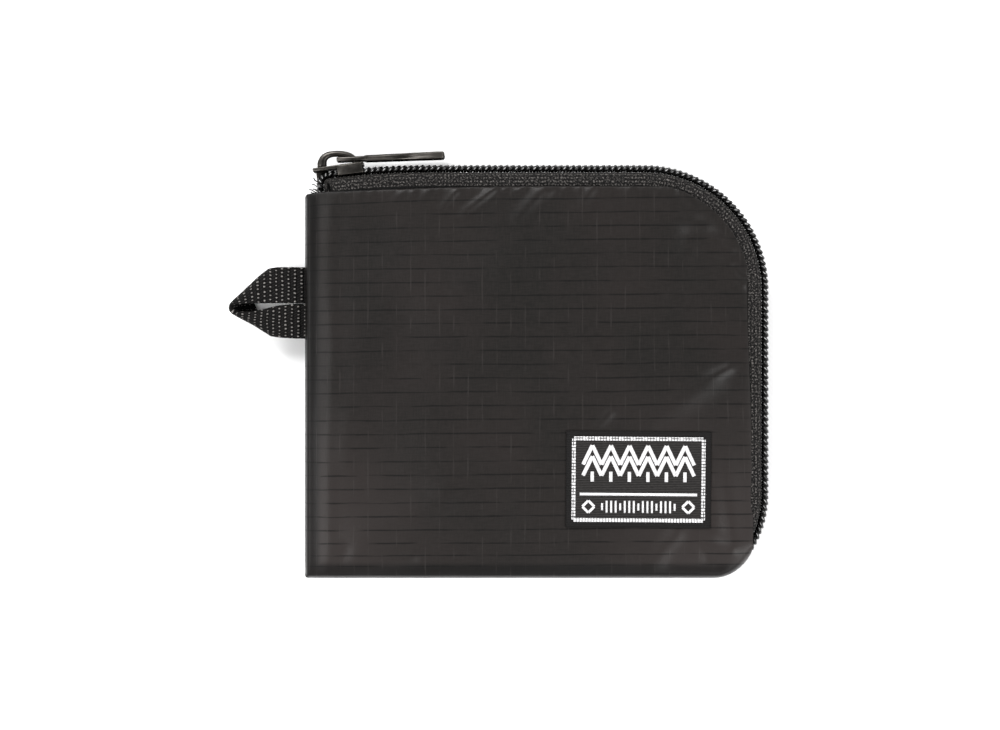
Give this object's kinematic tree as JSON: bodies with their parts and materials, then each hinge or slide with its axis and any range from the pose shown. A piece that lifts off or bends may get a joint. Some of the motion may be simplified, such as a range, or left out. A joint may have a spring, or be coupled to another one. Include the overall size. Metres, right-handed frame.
{
  "type": "zippered pouch",
  "caption": "Flat black ripstop pouch with a coil zip round its top and one side, a rounded corner, a webbing loop and a woven label.",
  "frame": {"origin": "centre of the back panel's flat outer face, which the pouch lies on", "axes": "+X towards the side with the zip, along the pouch's width; +Y towards the zipped top edge; +Z out of the front panel"},
  "size_m": [0.1339, 0.107, 0.0112],
  "materials": {
    "ripstop": "thin ripstop nylon, soft sheen",
    "lining": "plain woven nylon lining",
    "binding": "folded grosgrain tape",
    "zip_tape": "knitted polyester zip tape",
    "zip_coil": "black nylon coil",
    "zip_cord": "twisted filler cord",
    "label": "woven label with white threads",
    "thread": "black sewing thread",
    "slider_metal": "gunmetal lacquer, satin",
    "webbing": "ribbed nylon webbing"
  },
  "bodies": {
    "pouch": {"back_panel": "ripstop", "front_panel": "ripstop", "back_lining": "lining", "front_lining": "lining", "card_pocket": "lining", "card_pocket_binding": "binding", "seam_binding": "binding", "zip_tape_back": "zip_tape", "zip_coil_back": "zip_coil", "zip_cord_back": "zip_cord", "woven_label": "label", "label_stitching": "thread"},
    "flap": {"front_flap": "ripstop", "flap_lining": "lining", "zip_tape_front": "zip_tape", "zip_coil_front": "zip_coil", "zip_cord_front": "zip_cord"},
    "slider": {"slider_body": "slider_metal", "slider_bridge": "slider_metal"},
    "pull_tab": {"pull_tab": "slider_metal"},
    "loop": {"webbing_loop": "webbing"}
  },
  "joints": [
    {"name": "slider_travel", "type": "slide", "parent": "pouch", "child": "slider", "axis": [1, 0, 0], "range_m": [0, 0.068]},
    {"name": "tab_swing", "type": "hinge", "parent": "slider", "child": "pull_tab", "pos_m": [-0.04905, 0.0534, 0.0053], "axis": [0, 0, 1], "range_deg": [-1, 175]},
    {"name": "flap_open", "type": "hinge", "parent": "pouch", "child": "flap", "pos_m": [-0.05315, 0.0428, 0.0106], "axis": [0.8688, -0.4951, 0], "range_deg": [0, 30], "deforming": ["zip_tape_front", "zip_coil_front", "zip_cord_front"]},
    {"name": "loop_swing", "type": "hinge", "parent": "pouch", "child": "loop", "pos_m": [-0.05775, 0.0175, 0.0053], "axis": [0, 1, 0], "range_deg": [0, 75]}
  ]
}
